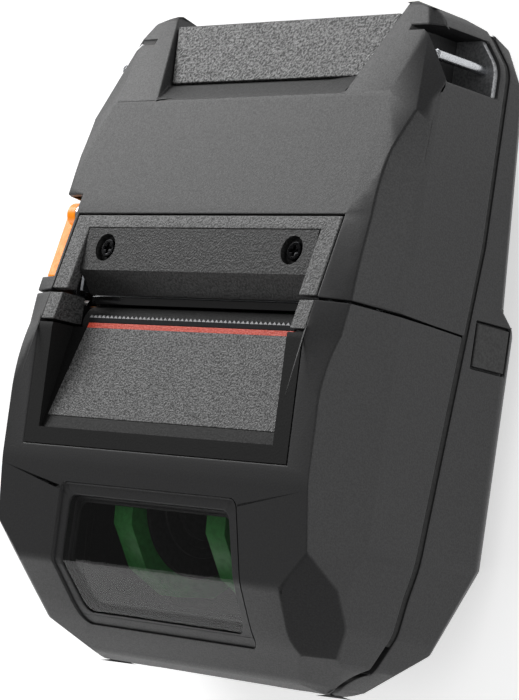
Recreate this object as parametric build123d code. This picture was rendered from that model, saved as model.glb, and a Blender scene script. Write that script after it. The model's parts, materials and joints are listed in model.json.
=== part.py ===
from build123d import *
import math
import os

# Portable label printer, lying on its back. X runs across it, Y from the hinge end to the strap
# end, and Z out of its front. The origin is under the middle of the body, on the resting plane.
# All sizes are millimetres.

# Outer body
half_width = 58.5
hinge_end_y = -82.0
strap_end_y = 82.2
crest_y = -2.25
crest_z = 64.2
wall = 2.2
part_gap = 0.5
fit_gap = 0.1
clear_gap = 0.3

# Side outline: points of the front, the hinge end and the back
wing_tip_z = 38.9
brow_y = 56.9
brow_z = 49.1
shoulder_y = -35.75
shoulder_z = 63.2
bend_y = -59.75
bend_z = 59.7
chin_y = -71.25
chin_z = 51.0
nose_y = -80.25
nose_z = 39.5
nose_low_z = 32.0
end_low_z = 25.0
heel_y = -76.0
heel_z = 17.0
foot_back_y = -48.0
foot_front_y = 8.5
step_y = 13.0
step_z = 4.5
loin_y = 66.0
loin_z = 8.6
nape_y = 77.0
nape_z = 20.0

# Plan outline: where the four corners start and end
hinge_taper_y = -50.0
hinge_corner_half = half_width - 3.2
hinge_corner_y = -66.5
hinge_mid_half = half_width - 8.7
hinge_mid_y = -75.0
hinge_flat_half = half_width - 18.5
strap_corner_y = 68.25
strap_mid_half = half_width - 8.5
strap_mid_y = 78.75
strap_flat_half = half_width - 18.5

# Cross-section: side wall, its crease, the lean of the front flank and the rear chamfer
crease_z = 46.0
flank_lean = 15.3
rear_corner_z = 8.0
foot_half = half_width - 6.6
flank_brow_y = 41.25
flank_brow_lean = 28.5
flank_tip_y = 61.75
flank_tip_lean = 36.0
crease_fall = 0.032

# Seams between the casings
seam_y = 6.25
seam_lean = 2.8
rear_seam_strap_z = 21.0
rear_seam_hinge_z = 28.5
rear_seam_bend_y = 26.0
rear_seam_low_y = -57.75
gasket_height = 1.4
gasket_inset = 0.5
gasket_width = 1.4
gasket_end_y = -69.0

# Facets beside the print slot, and the bevels of the two wings
facet_half = half_width - 12.3
facet_tip_half = half_width - 4.5
facet_lower_tip_y = -20.75
facet_upper_tip_y = 41.25
facet_crest_drop = 0.458
facet_seam_drop = 0.33
facet_bezel_drop = 0.143

# Flat bevels of the corners: a point on each and the direction that it faces
wing_brow = ((half_width - 5.0, 44.25, 52.2), (0.24, 0.341, 0.909))
wing_corner = ((half_width, 65.9, 39.9), (0.547, 0.374, 0.748))
wing_tip = ((half_width - 8.5, 78.2, 39.0), (0.5, 0.55, 0.67))
chin_corner = ((half_width - 8.5, -65.4, 51.0), (0.509, -0.593, 0.624))
nose_corner = ((half_width - 15.6, -78.2, 38.0), (0.33, -0.878, 0.347))
heel_corner = ((half_width - 17.3, -74.1, 10.0), (0.455, -0.788, -0.415))
loin_corner = ((half_width, 69.3, 20.2), (0.728, 0.418, -0.542))
step_corner = ((half_width, 9.8, 9.0), (0.6, 0.603, -0.526))

# Recess between the wings, with the textured panel on its floor
recess_low_half = half_width - 26.2
recess_top_half = half_width - 18.0
recess_low_y = 56.85
recess_floor_y = 62.15
recess_floor_z = 44.1
recess_floor_slope = 0.247
recess_wall_slope = 0.981
panel_gap = 0.4
panel_back_z = 24.0
panel_end_y = 78.35
panel_end_z = 40.1

# Control panel on the strap end
screen_length = 30.0
screen_height = 9.0
screen_x = -18.0
screen_glass = 1.0
button_radius = 3.1
button_gap = 0.2
button_travel = 0.8
button_flange = 0.8
button_proud = 0.6
button_xs = (6.0, 16.0, 26.0)
board_thick = 1.6
board_back = 6.5

# Bezel over the print head
bezel_half = half_width - 12.4
bezel_bar_half = bezel_half - 6.0
bezel_top_y = 26.25
bezel_bar_top_y = 22.85
bezel_thick = 3.2
bar_low_y = 12.05
bar_low_sink = 1.6
bar_lip_y = 6.65
bar_lip_sink = 7.7
bar_thick = 2.8
bezel_screw_x = bezel_bar_half - 7.5
bezel_screw_y = 17.85
bezel_screw_head = 2.3
bezel_screw_shank = 1.2
bezel_screw_length = 8.0
counterbore_radius = 3.5
counterbore_depth = 2.0

# Printing outlet in the cover
outlet_half = bezel_half
outlet_inner_half = outlet_half - 5.0
outlet_low_y = -32.05
outlet_ledge_y = -27.95
outlet_top_y = -2.05
outlet_floor_z = 50.0
flange_reach = 3.0
flange_thick = 1.6
ramp_low_y = -24.95
ramp_top_y = -0.7
ramp_low_half = outlet_inner_half - 0.7
ramp_top_half = ramp_low_half - 4.4
ramp_low_sink = 1.5
ramp_slope = 0.205
ramp_thick = 1.8
block_low_y = -1.25
ear_wall = 1.2
outlet_thin_z = 57.0
outlet_thin_y = -28.0
outlet_thick_y = -20.0
tear_half = ramp_top_half
tear_depth = 1.8
tear_thick = 0.8
tear_teeth = 48
tear_tooth = 0.7

# Platen and its gears
platen_y = -0.75
platen_z = 49.8
platen_radius = 5.0
platen_half = outlet_inner_half - 0.1
shaft_radius = 2.0
bush_radius = 3.6
bush_inner_x = platen_half + 1.2
bush_outer_x = bush_inner_x + 2.8
shaft_right = bush_outer_x + 0.4
bush_gap = 0.05
gear_module = 0.8
platen_teeth = 16
idler_teeth = 20
reduction_small_teeth = 12
reduction_big_teeth = 28
pinion_teeth = 10
gear_backlash = 0.3
gear_width = 2.2
gear_space = 0.3
idler_direction = -82.0
reduction_direction = -10.0
motor_direction = 16.0
post_radius = 1.5
motor_radius = 8.4
motor_length = 15.5
motor_shaft_radius = 1.0

# Chassis of folded steel
plate_x = bush_outer_x + 0.5
plate_thick = 1.0
chassis_low_y = 7.75
chassis_top_y = 40.0
side_plate_top_y = 32.5
base_z = 26.0
plate_front_z = 52.5
idler_tab_y = -6.0
idler_tab_z = 43.0
cross_low_y = 14.25
cross_top_y = 21.75
cross_thick = 2.5
web_y = 18.0

# Print head
head_gap = 0.25
head_half = platen_half
head_thick = 2.0
head_back_z = 41.0
head_front_z = 52.8
sink_height = 5.9
sink_back_z = 38.0
sink_front_z = 52.0
head_pivot_z = 39.5
head_pivot_radius = 1.2
head_spring_radius = 2.2
head_spring_xs = (-8.0, plate_x - 19.5)
head_spring_z = 46.0

# Release lever and its shaft
release_y = 27.75
release_z = 49.0
release_radius = 2.0
lever_proud = 1.6
lever_thick = 3.2
lever_round = 0.6
lever_low_y = 10.9
lever_top_y = 30.75
lever_front_low_z = 52.6
lever_front_top_z = 48.2
lever_back_z = 38.0
lever_back_shift = 1.5
lever_window_gap = 0.9
lever_strip = 1.7
catch_inner_x = plate_x + 6.8
catch_thick = 1.4
catch_tip_y = 4.2
catch_tip_z = 46.0
keeper_y = 0.0
keeper_z = 47.5
keeper_radius = 1.5
keeper_root = 1.5

# Roll compartment
roll_y = -40.75
roll_z = 31.0
bucket_radius = 25.8
bucket_wall = 1.4
bucket_half = half_width - 10.3
bucket_lip_angle = 35.0
guide_radius = 24.0
guide_sides = 12
guide_outer = 19.5
guide_inner = 13.0
hub_radius = 18.4
hub_nose_radius = 9.0
hub_nose = 2.6
hub_sink = 3.2
hub_axle_radius = 3.0
arm_low_y = -17.7
arm_width = 5.5
arm_knee_z = 40.0
rack_module = 1.0
rack_teeth_pinion = 12
rack_y = -9.25
rack_z = 7.3
rack_thick = 2.8
rack_depth = 2.2
rack_reach = 32.0
track_thick = 1.8
track_edge = 1.2
track_half = bucket_half - 0.2

# Hinge of the cover
barrel_radius = 3.0
barrel_room = 1.5
knuckle_outer_x = hinge_flat_half - 2.0
knuckle_mid_x = knuckle_outer_x - 7.8
knuckle_inner_x = knuckle_mid_x - 8.2
hinge_pin_radius = 1.2

# Window of the cover
window_top_y = -43.85
window_bend_y = -60.05
window_low_y = -70.9
window_bend_half = half_width - 28.4
window_top_half = window_bend_half - 2.5
window_low_half = window_bend_half - 2.7
window_sink = 0.9
window_thick = 1.7
window_gap = 0.15
window_border = 3.0
window_border_sink = 0.5
window_rebate = 1.2

# Battery and the back
battery_half = half_width - 22.5
battery_low_y = step_y + 4.25
battery_top_y = loin_y + 0.25
battery_top_z = 18.8
battery_gap = 0.4
bay_wall = 1.6
latch_half = 9.0
latch_length = 7.0
latch_thick = 1.6
latch_travel = 2.5
latch_top_y = battery_top_y - 2.0
contact_count = 4
contact_pitch = 5.0
contact_width = 2.0
contact_y = 21.0
casing_screw_x = half_width - 13.0
casing_screw_ys = (battery_low_y + 3.25, battery_top_y - 9.75)
casing_screw_head = 2.8
casing_screw_shank = 1.5
casing_screw_length = 10.0
boss_wall = 1.8
clip_x = 12.5
clip_y = 5.3
clip_thread_radius = 1.65
clip_insert_radius = 2.4
clip_depth = 5.0
clip_boss_wall = 1.2

# Port in the right side and the rubber flap that lies in a recess over it
flap_low_y = -1.8
flap_top_y = 8.3
flap_front_z = 19.9
flap_back_z = 8.8
flap_sink = 0.1
flap_thick = 1.3
flap_gap = 0.6
flap_plug_depth = 1.4
flap_margin = 1.2
flap_backing = 1.6
port_depth = 6.0
usb_length = 7.7
usb_height = 3.9
usb_z = flap_back_z + 5.0

# Strap corners
pocket_inner_x = half_width - 14.0
pocket_low_y = 60.75
pocket_top_y = 74.6
pocket_back_z = 24.5
pocket_front_z = 42.3
pocket_lining = 1.7
strap_bar_x = half_width - 4.5
strap_bar_y = 67.3
strap_bar_radius = 1.25
strap_plate_thick = 1.5

far = 120.0


def between(x, y, z):
    """A box between two places along each axis."""
    middle = Pos((x[0] + x[1]) / 2, (y[0] + y[1]) / 2, (z[0] + z[1]) / 2)
    return middle * Box(abs(x[1] - x[0]), abs(y[1] - y[0]), abs(z[1] - z[0]))


def both(shape):
    """The shape with its twin on the other side of the middle."""
    return shape + mirror(shape, about=Plane.YZ)


def rod(radius, x, y, z):
    """A round bar along X."""
    length = abs(x[1] - x[0])
    return Pos((x[0] + x[1]) / 2, y, z) * Rot(0, 90, 0) * Cylinder(radius, length)


def outline(corners, inset):
    """A closed outline, drawn in by the inset, with each corner rounded by its own radius."""
    places = []
    rounds = []
    for i, (u, v, radius) in enumerate(corners):
        before = Vector(*corners[i - 1][:2])
        here = Vector(u, v)
        after = Vector(*corners[(i + 1) % len(corners)][:2])
        come = (here - before).normalized()
        leave = (after - here).normalized()
        come_in = Vector(-come.Y, come.X)
        leave_in = Vector(-leave.Y, leave.X)
        shift = (come_in + leave_in) * (inset / (1 + come_in.dot(leave_in)))
        places.append(here + shift)
        convex = come.X * leave.Y - come.Y * leave.X > 0
        rounds.append(max(radius - inset, 0.2) if convex else radius + inset)
    return make_face(FilletPolyline(*places, radius=rounds, close=True))


def side_corners():
    return [
        (strap_end_y, wing_tip_z, 2.5),
        (brow_y, brow_z, 12),
        (crest_y, crest_z, 10),
        (shoulder_y, shoulder_z, 30),
        (bend_y, bend_z, 6),
        (chin_y, chin_z, 25),
        (nose_y, nose_z, 8),
        (hinge_end_y, nose_low_z, 4),
        (hinge_end_y, end_low_z, 4),
        (heel_y, heel_z, 8),
        (foot_back_y, 0, 10),
        (foot_front_y, 0, 1.5),
        (step_y, step_z, 3),
        (loin_y, loin_z, 7),
        (nape_y, nape_z, 8),
    ]


def plan_corners():
    return [
        (half_width, hinge_taper_y, 30),
        (half_width, strap_corner_y, 8),
        (strap_mid_half, strap_mid_y, 8),
        (strap_flat_half, strap_end_y, 4),
        (-strap_flat_half, strap_end_y, 4),
        (-strap_mid_half, strap_mid_y, 8),
        (-half_width, strap_corner_y, 8),
        (-half_width, hinge_taper_y, 30),
        (-hinge_corner_half, hinge_corner_y, 10),
        (-hinge_mid_half, hinge_mid_y, 8),
        (-hinge_flat_half, hinge_end_y, 10),
        (hinge_flat_half, hinge_end_y, 10),
        (hinge_mid_half, hinge_mid_y, 8),
        (hinge_corner_half, hinge_corner_y, 10),
    ]


def section_corners():
    above = crest_z + 4
    flank = half_width - (above - crease_z) * math.tan(math.radians(flank_lean))
    right = [(foot_half, 0, 4), (half_width, rear_corner_z, 5), (half_width, crease_z, 3)]
    left = [(-half_width, crease_z, 3), (-half_width, rear_corner_z, 5), (-foot_half, 0, 4)]
    return right + [(flank, above, 1), (-flank, above, 1)] + left


def envelope(inset):
    """The body's outer form, drawn in by the inset."""
    side = extrude(Plane.YZ * outline(side_corners(), inset), half_width, both=True)
    plan = extrude(outline(plan_corners(), inset), crest_z + 5)
    section = extrude(Plane.XZ * outline(section_corners(), inset), strap_end_y + 5, both=True)
    return side & plan & section


def front_z(y):
    """Height of the front surface on the middle line."""
    points = [(strap_end_y, wing_tip_z), (brow_y, brow_z), (crest_y, crest_z), (shoulder_y, shoulder_z)]
    for (high_y, high_z), (low_y, low_z) in zip(points, points[1:]):
        if y >= low_y:
            return low_z + (high_z - low_z) * (y - low_y) / (high_y - low_y)
    return shoulder_z


def rear_seam_z(y):
    """Height of the seam between the rear casing and the parts in front of it."""
    run = rear_seam_bend_y - rear_seam_low_y
    share = min(max((rear_seam_bend_y - y) / run, 0), 1)
    return rear_seam_strap_z + share * (rear_seam_hinge_z - rear_seam_strap_z)


def seam_at(z):
    """Place along Y of the seam between front casing and cover, which leans back."""
    return seam_y - (front_z(seam_y) - z) * math.tan(math.radians(seam_lean))


def side_slab(points, reach=far):
    """A slab across the body whose side view is the given outline."""
    return extrude(Plane.YZ * make_face(Polyline(*points, close=True)), reach, both=True)


def fixed_region():
    """Room of the front casing: above the rear seam and on the strap side of the middle seam."""
    foot = seam_at(rear_seam_z(seam_y)) + part_gap / 2
    return side_slab(
        [
            (foot, rear_seam_z(foot) + gasket_height),
            (rear_seam_bend_y, rear_seam_strap_z + gasket_height),
            (far, rear_seam_strap_z + gasket_height),
            (far, far),
            (seam_at(far) + part_gap / 2, far),
        ]
    )


def cover_region():
    """Room of the roll cover."""
    foot = seam_at(rear_seam_z(seam_y)) - part_gap / 2
    lift = gasket_height + clear_gap
    return side_slab(
        [
            (-far, rear_seam_hinge_z + lift),
            (rear_seam_low_y, rear_seam_hinge_z + lift),
            (foot, rear_seam_z(foot) + lift),
            (seam_at(far) - part_gap / 2, far),
            (-far, far),
        ]
    )


def rear_region():
    """Room of the rear casing."""
    return side_slab(
        [
            (-far, -1),
            (far, -1),
            (far, rear_seam_strap_z),
            (rear_seam_bend_y, rear_seam_strap_z),
            (rear_seam_low_y, rear_seam_hinge_z),
            (-far, rear_seam_hinge_z),
        ]
    )


def facet_cut():
    """Tool for the long facets beside the print slot, a ruled skin over five sections."""
    stations = [
        (facet_lower_tip_y, facet_tip_half, 0.0),
        (crest_y, facet_half, facet_crest_drop),
        (seam_y, facet_half, facet_seam_drop),
        (bezel_top_y, facet_half, facet_bezel_drop),
        (facet_upper_tip_y, facet_tip_half, 0.0),
    ]
    reach = half_width - facet_half + 4
    sections = []
    for y, x, drop in stations:
        z = front_z(y) + (0.05 if drop == 0 else 0)
        corners = [(x, y, z), (x + reach, y, z - reach * drop), (x + reach, y, z + 12), (x, y, z + 12)]
        sections.append(make_face(Polyline(*corners, close=True)))
    return both(loft(sections, ruled=True))


def bevel(point, normal, inset):
    """Tool on both sides that takes off all beyond a plane, set in by the inset."""
    direction = Vector(*normal).normalized()
    plane = Plane(origin=Vector(*point) - direction * inset, x_dir=(0, 1, 0), z_dir=direction)
    return both(plane * Box(far, far, 30, align=(Align.CENTER, Align.CENTER, Align.MIN)))


def back_normal(low, high):
    """Direction of the bevel beside a stretch of the back, between two (y, z) places."""
    along = Vector(0, high[0] - low[0], high[1] - low[1])
    across = Vector(half_width - foot_half, 0, rear_corner_z)
    normal = across.cross(along).normalized()
    return normal if normal.Z < 0 else -normal


def back_bevels(inset):
    """Tools for the bevels along the slopes of the back, the same width as those of its flat."""
    heel = bevel((foot_half, foot_back_y, 0), back_normal((foot_back_y, 0), (heel_y, heel_z)), inset)
    loin = bevel((foot_half, step_y, step_z), back_normal((step_y, step_z), (loin_y, loin_z)), inset)
    step = bevel(*step_corner, inset)
    turn_y = step_y - inset
    loin &= between((-far, far), (turn_y, far), (-far, far))
    step &= between((-far, far), (-far, turn_y), (-far, far))
    return heel + loin + step


def flank_cut(inset):
    """Tool for the flanks of the front casing, which lean in more towards the wings."""
    stations = [
        (seam_y - 12, flank_lean),
        (seam_y, flank_lean),
        (flank_brow_y, flank_brow_lean),
        (flank_tip_y, flank_tip_lean),
        (far, flank_tip_lean),
    ]
    sections = []
    for y, lean in stations:
        x = half_width - inset
        z = crease_z - max(y - seam_y, 0) * crease_fall - inset * math.tan(math.radians(lean / 2))
        top = x - (far - z) * math.tan(math.radians(lean))
        corners = [(x, y, z), (top, y, far), (x + 30, y, far), (x + 30, y, z)]
        sections.append(make_face(Polyline(*corners, close=True)))
    return both(loft(sections, ruled=True))


def recess_cut(margin):
    """The recess between the wings, widened by a margin."""
    floor_far = recess_floor_z - (far - recess_floor_y) * recess_floor_slope
    rise = far - recess_floor_z
    side = side_slab(
        [
            (recess_floor_y - margin, recess_floor_z - margin),
            (far, floor_far - margin),
            (far, far),
            (recess_floor_y - rise / recess_wall_slope - margin, far - margin),
        ]
    )
    return side & recess_plan(margin)


def body_form(inset):
    """The outer form with its facets, wing bevels and recess, drawn in by the inset."""
    form = envelope(inset) - Pos(0, 0, -inset) * facet_cut() - flank_cut(inset)
    for point, normal in (wing_brow, wing_corner, wing_tip, chin_corner, nose_corner, heel_corner, loin_corner):
        form -= bevel(point, normal, inset)
    return form - back_bevels(inset) - recess_cut(inset) - end_cut(inset)


end_tilt = math.atan2(strap_end_y - nape_y, wing_tip_z - nape_z)


def end_y(z):
    """Place of the sunk end face between the wings at a height."""
    return panel_end_y - (panel_end_z - z) * math.tan(end_tilt)


def end_cut(inset):
    """Room beyond the sunk end face, between the wings."""
    low_z = panel_back_z - inset
    shift = inset / math.cos(end_tilt)
    side = side_slab(
        [
            (end_y(low_z) - shift, low_z),
            (end_y(far) - shift, far),
            (end_y(far) + far, far),
            (end_y(low_z) + far, low_z),
        ]
    )
    return side & recess_plan(inset)


def recess_plan(margin):
    """Prism of the recess between the wings, seen from the front."""
    spread = (recess_top_half - recess_low_half) / (strap_end_y - recess_low_y)
    low = recess_low_half + margin - spread * 20
    high = recess_top_half + margin + spread * 20
    low_y = recess_low_y - 20
    high_y = strap_end_y + 20
    plan = make_face(Polyline((low, low_y), (high, high_y), (-high, high_y), (-low, low_y), close=True))
    return extrude(plan, far)


OUTER = body_form(0)
SHELL = OUTER - body_form(wall)

end_middle_z = (wing_tip_z + panel_back_z) / 2
END_FACE = Plane(
    origin=(0, end_y(end_middle_z), end_middle_z),
    x_dir=(1, 0, 0),
    z_dir=(0, math.cos(end_tilt), -math.sin(end_tilt)),
)


def panel_room(gap):
    """Room of the top panel: the recess floor and the end face below it."""
    spread = (recess_top_half - recess_low_half) / (strap_end_y - recess_low_y)
    low_y = recess_floor_y + gap
    low = recess_low_half + spread * (low_y - recess_low_y) - gap
    high_y = strap_end_y + 10
    high = low + spread * (high_y - low_y)
    plan = make_face(Polyline((low, low_y), (high, high_y), (-high, high_y), (-low, low_y), close=True))
    return Pos(0, 0, panel_back_z + gap) * extrude(plan, far)


def lever_window():
    """Opening of the left flank that the release lever works in."""
    y = (lever_low_y - lever_window_gap, lever_top_y + lever_window_gap)
    return between((-far, -bezel_half - lever_strip), y, (lever_back_z - lever_window_gap, far))


def pocket(margin):
    """Both strap pockets, widened by a margin on their inner sides."""
    return both(
        between(
            (pocket_inner_x - margin, far),
            (pocket_low_y - margin, pocket_top_y + margin),
            (pocket_back_z - margin, pocket_front_z + margin),
        )
    )


def front_casing():
    lining = pocket(pocket_lining) & OUTER & fixed_region()
    casing = (SHELL & fixed_region()) - panel_room(0)
    bezel_room = between(
        (-bezel_half - clear_gap, bezel_half + clear_gap),
        (0, bezel_top_y + clear_gap),
        (crease_z, far),
    )
    return casing + lining - pocket(0) - bezel_room - lever_window()


def screen_room(gap):
    length = screen_length + 2 * gap
    height = screen_height + 2 * gap
    return END_FACE * Pos(screen_x, 0, -wall) * Box(length, height, 2 * wall + 2)


def top_panel():
    panel = SHELL & panel_room(panel_gap) & fixed_region()
    for x in button_xs:
        panel -= END_FACE * Pos(x, 0, 0) * Cylinder(button_radius + button_gap, 4 * wall)
    return panel - screen_room(0)


def display_window():
    glass = Box(screen_length - 0.2, screen_height - 0.2, screen_glass)
    return END_FACE * Pos(screen_x, 0, -0.3 - screen_glass / 2) * glass


def display_module():
    return END_FACE * Pos(screen_x, 0.4, -wall - 1.2) * Box(screen_length + 4, screen_height + 0.8, 2.0)


def control_board():
    board = END_FACE * Pos(0, 1.4, -board_back) * Box(2 * recess_low_half - 2, 12.0, board_thick)
    for x in button_xs:
        low = -board_back + board_thick / 2
        high = -wall - button_flange - button_travel - 0.5
        switch = Pos(x, 0, (low + high) / 2) * Box(4, 4, high - low)
        board += END_FACE * switch
    return board


def button(x):
    low = -wall - button_flange - 0.1
    cap = Pos(x, 0, (low + button_proud) / 2) * Cylinder(button_radius, button_proud - low)
    flange = Pos(x, 0, low + button_flange / 2) * Cylinder(button_radius + 1, button_flange)
    return END_FACE * (cap + flange)


def casing_gasket():
    ring = envelope(gasket_inset) - envelope(gasket_inset + gasket_width)
    band = side_slab(
        [
            (gasket_end_y, rear_seam_hinge_z),
            (rear_seam_low_y, rear_seam_hinge_z),
            (rear_seam_bend_y, rear_seam_strap_z),
            (far, rear_seam_strap_z),
            (far, rear_seam_strap_z + gasket_height),
            (rear_seam_bend_y, rear_seam_strap_z + gasket_height),
            (rear_seam_low_y, rear_seam_hinge_z + gasket_height),
            (gasket_end_y, rear_seam_hinge_z + gasket_height),
        ]
    )
    return ring & band


def hinge_axis_y():
    return hinge_end_y + barrel_radius


def knuckles(inner_x, outer_x, front):
    """Hinge knuckles with their webs, towards the front or the back."""
    y = hinge_axis_y()
    z = rear_seam_hinge_z
    reach = 2.4 * barrel_radius
    web_z = (z, z + reach) if front else (z - reach, z)
    web = between((inner_x, outer_x), (hinge_end_y, y + 0.6 * barrel_radius), web_z)
    barrel = rod(barrel_radius, (inner_x, outer_x), y, z)
    return both(barrel + (web & OUTER))


def hinge_room(inner_x, outer_x):
    radius = barrel_radius + barrel_room
    return both(rod(radius, (inner_x, outer_x), hinge_axis_y(), rear_seam_hinge_z))


def hinge_bore():
    outer = knuckle_outer_x - bay_wall
    return rod(hinge_pin_radius + bush_gap, (-outer, outer), hinge_axis_y(), rear_seam_hinge_z)


def hinge_pin():
    outer = knuckle_outer_x - bay_wall - fit_gap
    return rod(hinge_pin_radius, (-outer, outer), hinge_axis_y(), rear_seam_hinge_z)


def bay(gap):
    """The battery's room in the rear casing."""
    return between(
        (-battery_half - gap, battery_half + gap),
        (battery_low_y - gap, battery_top_y + gap),
        (-5, battery_top_z + gap),
    )


def casing_screw_places():
    """Centre and back surface height of each casing screw."""
    slope = (loin_z - step_z) / (loin_y - step_y)
    places = []
    for y in casing_screw_ys:
        z = step_z + slope * (y - step_y)
        places += [(casing_screw_x, y, z), (-casing_screw_x, y, z)]
    return places


def port_room():
    """Opening behind the rubber port cover."""
    return between(
        (half_width - flap_sink - flap_thick - flap_plug_depth - 2 * wall, far),
        (flap_low_y + flap_margin, flap_top_y - flap_margin),
        (flap_back_z + flap_margin, flap_front_z - 2 * flap_margin),
    )


def flap_room(depth, margin):
    """Room of the flap's recess in the right side, to a depth."""
    return between(
        (half_width - depth, far),
        (flap_low_y - margin, flap_top_y + margin),
        (flap_back_z - margin, flap_front_z + margin),
    )


def tray_block():
    """The battery tray before it is hollowed, inside the casing's wall."""
    side = battery_gap + bay_wall
    block = between(
        (-battery_half - side, battery_half + side),
        (battery_low_y - side, battery_top_y + side),
        (0, battery_top_z + side),
    )
    return block & body_form(wall)


def battery_tray():
    slot = contact_count * contact_pitch / 2
    contact_slot = between((-slot, slot), (contact_y - 2, contact_y + 2), (battery_top_z, crease_z))
    return tray_block() - bay(battery_gap) - contact_slot


def rear_casing():
    casing = SHELL & rear_region()
    recess_depth = flap_sink + flap_thick + 0.2
    casing += flap_room(recess_depth + flap_backing, flap_gap + flap_backing) & OUTER & rear_region()
    casing -= flap_room(recess_depth, flap_gap)
    for x, y, z in casing_screw_places():
        height = rear_seam_strap_z - 1
        boss = Cylinder(casing_screw_shank + boss_wall, height, align=(Align.CENTER, Align.CENTER, Align.MIN))
        casing += Pos(x, y, 0) * boss & OUTER
    for x in (clip_x, -clip_x):
        boss_height = clip_depth + clip_boss_wall
        casing += Pos(x, clip_y, boss_height / 2) * Cylinder(clip_insert_radius + clip_boss_wall, boss_height)
    casing -= bay(battery_gap)
    for x, y, z in casing_screw_places():
        casing -= Pos(x, y, z + casing_screw_length / 2) * Cylinder(casing_screw_shank, casing_screw_length + 6)
        casing -= Pos(x, y, z) * Cylinder(casing_screw_head + clear_gap, 3.6)
    for x in (clip_x, -clip_x):
        casing -= Pos(x, clip_y, clip_depth / 2) * Cylinder(clip_insert_radius, clip_depth)
    casing -= port_room()
    corner = (rod(barrel_radius, (knuckle_outer_x, half_width), hinge_axis_y(), rear_seam_hinge_z)) & OUTER
    casing += both(corner)
    casing -= hinge_room(0, knuckle_mid_x)
    casing += knuckles(knuckle_mid_x, knuckle_outer_x, False)
    return casing - hinge_bore()


def strap_bars():
    low = pocket_back_z + strap_plate_thick
    length = pocket_front_z - low
    return both(Pos(strap_bar_x, strap_bar_y, low + length / 2) * Cylinder(strap_bar_radius, length))


def strap_plates():
    x = (pocket_inner_x, half_width)
    plate = between(x, (pocket_low_y, pocket_top_y), (pocket_back_z, pocket_back_z + strap_plate_thick))
    return both(plate & envelope(0.8))


def casing_screws():
    screws = []
    for x, y, z in casing_screw_places():
        shank = Pos(x, y, z + 1.8 + casing_screw_length / 2 - 1) * Cylinder(casing_screw_shank, casing_screw_length - 2)
        head = Pos(x, y, z + 1.3) * Cylinder(casing_screw_head, 1.0)
        slot = Pos(x, y, z + 0.8) * Box(3.4, 0.7, 0.9)
        cross = Pos(x, y, z + 0.8) * Box(0.7, 3.4, 0.9)
        screws.append(shank + head - slot - cross)
    return Compound(children=screws)


def belt_clip_inserts():
    inserts = []
    for x in (clip_x, -clip_x):
        body = Pos(x, clip_y, clip_depth / 2) * Cylinder(clip_insert_radius, clip_depth)
        inserts.append(body - Pos(x, clip_y, clip_depth / 2) * Cylinder(clip_thread_radius, clip_depth))
    return Compound(children=inserts)


def battery_pack():
    pack = envelope(clear_gap) & bay(0)
    return pack - latch_room(fit_gap, latch_travel)


def latch_room(gap, travel):
    """Pocket of the battery's face that its latch slides in."""
    low = between(
        (-latch_half - gap, latch_half + gap),
        (latch_top_y - latch_length - travel - gap, latch_top_y + gap),
        (0, loin_z + latch_thick + 0.6),
    )
    return low


def battery_latch():
    tab = between(
        (-latch_half, latch_half),
        (latch_top_y - latch_length, latch_top_y),
        (0, loin_z + latch_thick + 0.6 - fit_gap),
    )
    return tab & envelope(clear_gap + 0.4)


def battery_contacts():
    blades = []
    for i in range(contact_count):
        x = (i - (contact_count - 1) / 2) * contact_pitch
        blades.append(
            between(
                (x - contact_width / 2, x + contact_width / 2),
                (contact_y - 1.2, contact_y + 1.2),
                (battery_top_z + 0.2, main_board_z()),
            )
        )
    return Compound(children=blades)


def main_board_z():
    return base_z - 2 * board_thick - 0.8


def main_board():
    z = main_board_z()
    board = between((-plate_x + 1, plate_x - 1), (chassis_low_y + 6, pocket_low_y + 4), (z, z + board_thick))
    for x, y in ((-20, 30), (14, 34), (-4, 46), (28, 24)):
        board += Pos(x, y, z + board_thick + 0.6) * Box(9, 7, 1.2)
    return board - pocket(pocket_lining)


def bar_plane_z(y):
    """Height of the sunk bar's face."""
    top = front_z(bezel_bar_top_y)
    low = front_z(bar_low_y) - bar_low_sink
    return low + (top - low) * (y - bar_low_y) / (bezel_bar_top_y - bar_low_y)


def head_bezel():
    y_low = seam_y + part_gap
    outer = between((-bezel_half, bezel_half), (y_low, bezel_top_y), (crease_z, far))
    depth = side_slab(
        [
            (y_low, front_z(y_low) - bezel_thick),
            (bezel_top_y, front_z(bezel_top_y) - bezel_thick),
            (bezel_top_y, far),
            (y_low, far),
        ]
    )
    inner_half = bezel_bar_half + clear_gap
    inner = between((-inner_half, inner_half), (0, bezel_bar_top_y), (0, far))
    return (OUTER & outer & depth) - inner


def bar_screw_axis():
    lean = math.atan2(bar_plane_z(bar_low_y) - bar_plane_z(bezel_bar_top_y), bezel_bar_top_y - bar_low_y)
    return Plane(
        origin=(0, bezel_screw_y, bar_plane_z(bezel_screw_y)),
        x_dir=(1, 0, 0),
        z_dir=(0, math.sin(lean), math.cos(lean)),
    )


def head_cover():
    top_y = bezel_bar_top_y - fit_gap
    lip_z = front_z(bar_lip_y) - bar_lip_sink
    bar = side_slab(
        [
            (top_y, bar_plane_z(top_y)),
            (bar_low_y, bar_plane_z(bar_low_y)),
            (bar_lip_y, lip_z),
            (bar_lip_y, lip_z - 1.0),
            (bar_low_y, bar_plane_z(bar_low_y) - bar_thick),
            (top_y, bar_plane_z(top_y) - bar_thick),
        ],
        bezel_bar_half,
    )
    for x in (bezel_screw_x, -bezel_screw_x):
        bar -= bar_screw_axis() * Pos(x, 0, 0) * Cylinder(counterbore_radius, 2 * counterbore_depth)
        bar -= bar_screw_axis() * Pos(x, 0, 0) * Cylinder(bezel_screw_shank, 4 * bar_thick)
    return bar


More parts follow.
